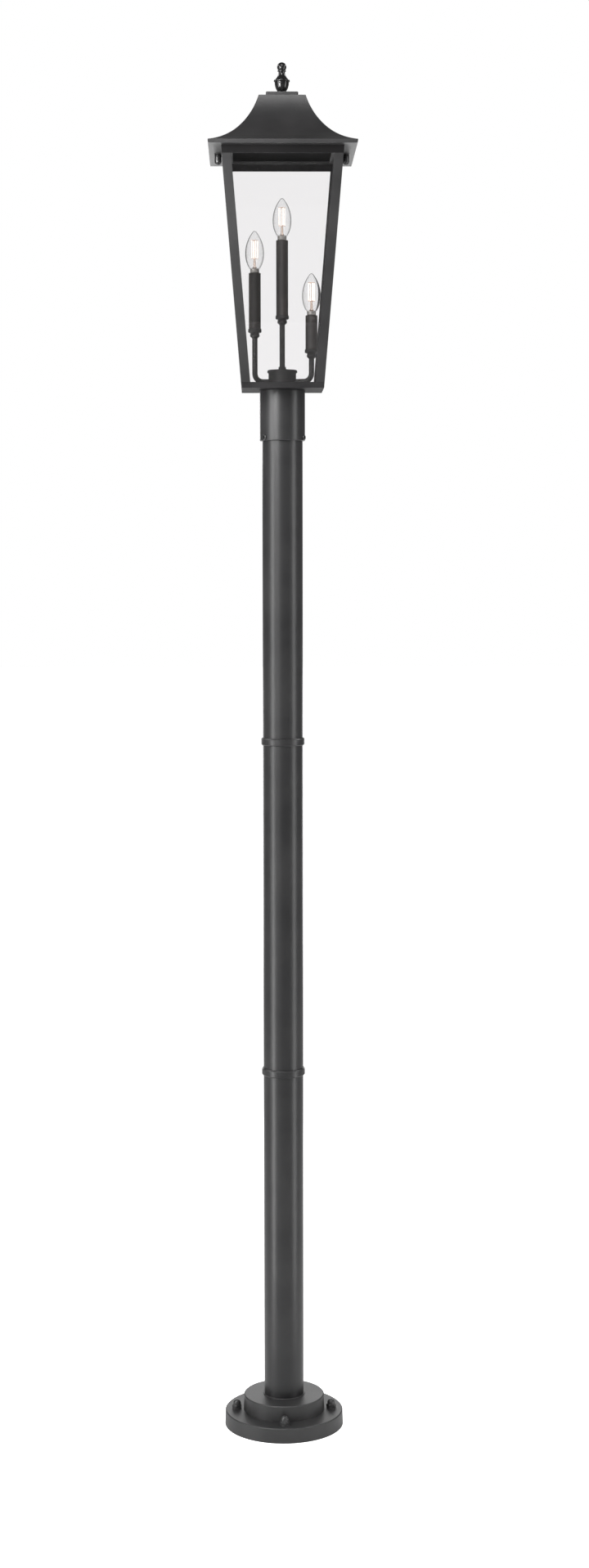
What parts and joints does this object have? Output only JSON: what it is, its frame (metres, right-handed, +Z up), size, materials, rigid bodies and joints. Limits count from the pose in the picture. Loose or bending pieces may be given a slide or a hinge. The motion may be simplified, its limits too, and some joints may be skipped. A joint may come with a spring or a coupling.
{
  "type": "lamp post",
  "caption": "Round lamp post on a bolted disc base with a tapered four-sided glass lantern, a hipped roof with a finial, and candle lamps at stepped heights inside.",
  "frame": {"origin": "centre of the base's underside, where it stands on the ground", "axes": "+Z up along the post; -Y is the front, +X is to the viewer's right"},
  "size_m": [0.2726, 0.2726, 2.6036],
  "materials": {
    "base_iron": "black fine-textured powder coat, satin",
    "post_steel": "black fine-textured powder coat, satin",
    "lantern_aluminium": "black fine-textured powder coat, satin",
    "finial_aluminium": "black coat, semi-gloss",
    "pane_glass": "clear float glass",
    "black_fastener": "black, semi-gloss",
    "plated_fastener": "zinc plated",
    "candle_metal": "dark grey-brown satin coat",
    "lampholder": "moulded black",
    "lamp_contacts": "plain brass",
    "lamp_cap": "nickel plated, bright",
    "lamp_glass": "clear blown glass",
    "lamp_filament": "lit white strips on a glass mount"
  },
  "bodies": {
    "post": {"base_flange": "base_iron", "anchor_cap_nuts": "black_fastener", "post_section_lower": "post_steel", "joint_coupler_lower": "post_steel", "post_section_middle": "post_steel", "joint_coupler_upper": "post_steel", "post_section_upper": "post_steel"},
    "lantern": {"fitter_collar": "lantern_aluminium", "bottom_pan": "lantern_aluminium", "corner_post_back_right": "lantern_aluminium", "corner_post_back_left": "lantern_aluminium", "corner_post_front_left": "lantern_aluminium", "corner_post_front_right": "lantern_aluminium", "glass_pane_front": "pane_glass", "glass_pane_right": "pane_glass", "glass_pane_back": "pane_glass", "glass_pane_left": "pane_glass", "top_frame": "lantern_aluminium", "eave_plate": "lantern_aluminium", "hub_nipple": "plated_fastener", "nipple_nuts": "plated_fastener", "hub_body": "candle_metal", "hub_cover": "candle_metal", "stem_neck_nut": "black_fastener", "tube_lock_nuts": "plated_fastener", "stem_center": "candle_metal", "arm_left": "candle_metal", "arm_right": "candle_metal", "candle_cup_left": "candle_metal", "candle_sleeve_left": "candle_metal", "socket_body_left": "lampholder", "socket_contacts_left": "lamp_contacts", "candle_cup_center": "candle_metal", "candle_sleeve_center": "candle_metal", "socket_body_center": "lampholder", "socket_contacts_center": "lamp_contacts", "candle_cup_right": "candle_metal", "candle_sleeve_right": "candle_metal", "socket_body_right": "lampholder", "socket_contacts_right": "lamp_contacts"},
    "roof": {"roof_shell": "lantern_aluminium", "cap_plate": "lantern_aluminium", "finial": "finial_aluminium", "finial_lock_nut": "plated_fastener", "roof_studs": "plated_fastener"},
    "roof_nut_left": {"roof_nut_left": "black_fastener"},
    "roof_nut_right": {"roof_nut_right": "black_fastener"},
    "lamp_left": {"lamp_base_left": "lamp_cap", "lamp_glass_left": "lamp_glass", "lamp_filaments_left": "lamp_filament"},
    "lamp_center": {"lamp_base_center": "lamp_cap", "lamp_glass_center": "lamp_glass", "lamp_filaments_center": "lamp_filament"},
    "lamp_right": {"lamp_base_right": "lamp_cap", "lamp_glass_right": "lamp_glass", "lamp_filaments_right": "lamp_filament"},
    "set_screw_right": {"set_screw_right": "black_fastener"},
    "set_screw_left": {"set_screw_left": "black_fastener"},
    "set_screw_back": {"set_screw_back": "black_fastener"}
  },
  "joints": [
    {"name": "lantern_turn", "type": "hinge", "parent": "post", "child": "lantern", "pos_m": [0, 0, 1.97], "axis": [0, 0, 1], "range_deg": [-180, 180]},
    {"name": "roof_lift", "type": "slide", "parent": "lantern", "child": "roof", "axis": [0, 0, 1], "range_m": [0, 0.15]},
    {"name": "roof_nut_left_turn", "type": "hinge", "parent": "lantern", "child": "roof_nut_left", "pos_m": [-0.1194, 0, 2.4344], "axis": [0, 0, -1], "range_deg": [0, 4140]},
    {"name": "roof_nut_right_turn", "type": "hinge", "parent": "lantern", "child": "roof_nut_right", "pos_m": [0.1194, 0, 2.4344], "axis": [0, 0, -1], "range_deg": [0, 4140]},
    {"name": "lamp_left_lift", "type": "slide", "parent": "lantern", "child": "lamp_left", "axis": [0, 0, 1], "range_m": [0, 0.026]},
    {"name": "lamp_center_lift", "type": "slide", "parent": "lantern", "child": "lamp_center", "axis": [0, 0, 1], "range_m": [0, 0.026]},
    {"name": "lamp_right_lift", "type": "slide", "parent": "lantern", "child": "lamp_right", "axis": [0, 0, 1], "range_m": [0, 0.026]},
    {"name": "set_screw_right_turn", "type": "hinge", "parent": "lantern", "child": "set_screw_right", "pos_m": [0.03968, -0.01523, 1.9097], "axis": [0.9336, -0.3584, 0], "range_deg": [0, 900]},
    {"name": "set_screw_left_turn", "type": "hinge", "parent": "lantern", "child": "set_screw_left", "pos_m": [-0.03303, -0.02675, 1.9097], "axis": [-0.7771, -0.6293, 0], "range_deg": [0, 900]},
    {"name": "set_screw_back_turn", "type": "hinge", "parent": "lantern", "child": "set_screw_back", "pos_m": [-0.00665, 0.04198, 1.9097], "axis": [-0.1564, 0.9877, 0], "range_deg": [0, 900]}
  ]
}
